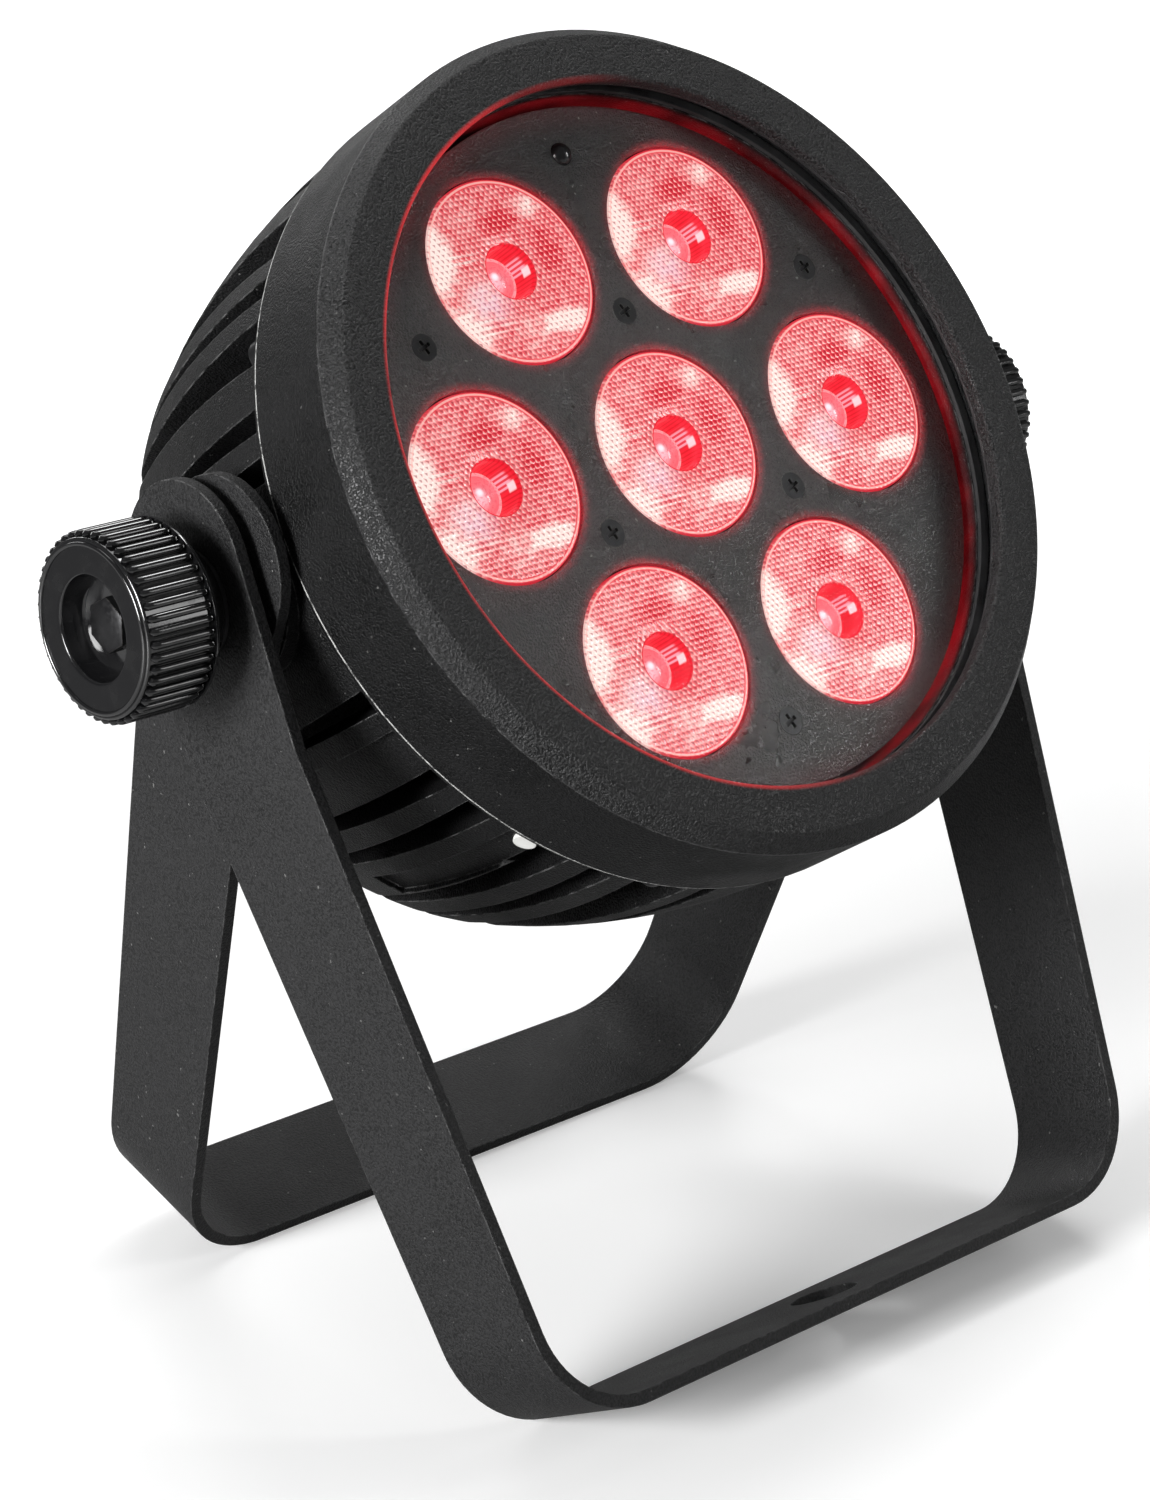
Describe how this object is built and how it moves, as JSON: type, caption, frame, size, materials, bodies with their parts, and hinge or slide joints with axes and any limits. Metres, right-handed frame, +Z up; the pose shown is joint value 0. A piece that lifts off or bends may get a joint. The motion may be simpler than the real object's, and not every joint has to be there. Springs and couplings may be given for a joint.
{
  "type": "par can light",
  "caption": "Drum-shaped LED stage light with round collimator lenses behind glass, a finned cast body and two U-shaped yokes clamped by side knobs.",
  "frame": {"origin": "middle of the base of the bounding box, on the floor that the two yokes stand on", "axes": "+Z up, +X along the pivot axis to the right seen from the front, the lenses face -Y and are tilted up by 32.5 degrees"},
  "size_m": [0.2436, 0.1806, 0.2568],
  "materials": {
    "board_green": "circuit board with parts",
    "brass_plain": "turned brass",
    "cap_plastic": "black moulded plastic",
    "cast_black": "black textured powder coat on cast aluminium",
    "glass_clear": "clear toughened glass",
    "knob_plastic": "satin black nylon",
    "led_yellow": "light-emitting packages",
    "lens_plastic": "clear acrylic, lit red",
    "panel_black": "fine black powder coat",
    "rubber_black": "black silicone",
    "screw_black": "blackened steel",
    "sensor_gloss": "dark glossy plastic",
    "sheet_black": "black textured powder coat on steel strip",
    "steel": "zinc-plated steel",
    "vent_white": "white moulded plastic",
    "window_smoke": "smoked clear plastic"
  },
  "bodies": {
    "front_yoke": {"front_bracket": "sheet_black", "left_spacer": "cap_plastic", "right_spacer": "cap_plastic"},
    "rear_yoke": {"rear_bracket": "sheet_black"},
    "left_washer": {"left_knob_washer": "steel"},
    "left_knob": {"left_knob": "knob_plastic", "left_stud": "steel"},
    "right_washer": {"right_knob_washer": "steel"},
    "right_knob": {"right_knob": "knob_plastic", "right_stud": "steel"},
    "menu_button_1": {"menu_button_1": "cap_plastic"},
    "menu_button_2": {"menu_button_2": "cap_plastic"},
    "menu_button_3": {"menu_button_3": "cap_plastic"},
    "menu_button_4": {"menu_button_4": "cap_plastic"},
    "head": {"bezel_gasket": "rubber_black", "bezel_screws": "screw_black", "board_pillars": "steel", "board_screws": "steel", "breather_vent": "vent_white", "circuit_screws": "steel", "display_board": "board_green", "display_screws": "steel", "display_window": "window_smoke", "driver_board": "board_green", "front_bezel": "cast_black", "front_glass": "glass_clear", "glass_seal": "rubber_black", "housing": "cast_black", "led_board": "board_green", "led_emitters": "led_yellow", "left_boss_washer": "cap_plastic", "left_insert": "brass_plain", "lens_1": "lens_plastic", "lens_2": "lens_plastic", "lens_3": "lens_plastic", "lens_4": "lens_plastic", "lens_5": "lens_plastic", "lens_6": "lens_plastic", "lens_7": "lens_plastic", "lens_carrier": "cap_plastic", "lens_plate": "panel_black", "panel_gasket": "rubber_black", "panel_screws": "screw_black", "plate_screws": "screw_black", "power_cores": "cap_plastic", "power_inlet": "cap_plastic", "power_outlet": "cap_plastic", "power_supply_board": "board_green", "rear_panel": "panel_black", "right_boss_washer": "cap_plastic", "right_insert": "brass_plain", "safety_eye": "steel", "safety_eye_nuts": "steel", "sensor_window": "sensor_gloss", "signal_core": "cap_plastic", "signal_inlet": "cap_plastic", "signal_outlet": "cap_plastic", "signal_pins": "brass_plain", "socket_nuts": "steel"}
  },
  "joints": [
    {"name": "rear_yoke_swing", "type": "hinge", "parent": "front_yoke", "child": "rear_yoke", "pos_m": [0, -0.00253, 0.15994], "axis": [1, 0, 0], "range_deg": [-44.56, 135.44]},
    {"name": "head_tilt", "type": "hinge", "parent": "front_yoke", "child": "head", "pos_m": [0, -0.00253, 0.15994], "axis": [1, 0, 0], "range_deg": [-180, 180]},
    {"name": "left_knob_travel", "type": "slide", "parent": "head", "child": "left_washer", "axis": [-1, 0, 0], "range_m": [0, 0.0025]},
    {"name": "left_knob_turn", "type": "hinge", "parent": "left_washer", "child": "left_knob", "pos_m": [0, -0.00253, 0.15994], "axis": [-1, 0, 0], "range_deg": [0, 720]},
    {"name": "right_knob_travel", "type": "slide", "parent": "head", "child": "right_washer", "axis": [1, 0, 0], "range_m": [0, 0.0025]},
    {"name": "right_knob_turn", "type": "hinge", "parent": "right_washer", "child": "right_knob", "pos_m": [0, -0.00253, 0.15994], "axis": [1, 0, 0], "range_deg": [0, 720]},
    {"name": "menu_press_1", "type": "slide", "parent": "head", "child": "menu_button_1", "axis": [0, -0.8434, 0.5373], "range_m": [0, 0.0008], "stiffness_N_per_m": 400},
    {"name": "menu_press_2", "type": "slide", "parent": "head", "child": "menu_button_2", "axis": [0, -0.8434, 0.5373], "range_m": [0, 0.0008], "stiffness_N_per_m": 400},
    {"name": "menu_press_3", "type": "slide", "parent": "head", "child": "menu_button_3", "axis": [0, -0.8434, 0.5373], "range_m": [0, 0.0008], "stiffness_N_per_m": 400},
    {"name": "menu_press_4", "type": "slide", "parent": "head", "child": "menu_button_4", "axis": [0, -0.8434, 0.5373], "range_m": [0, 0.0008], "stiffness_N_per_m": 400}
  ],
  "couplings": [
    {"joint": "left_knob_turn", "follows": "left_knob_travel", "rad_per_m": 5026.5},
    {"joint": "right_knob_turn", "follows": "right_knob_travel", "rad_per_m": 5026.5}
  ]
}
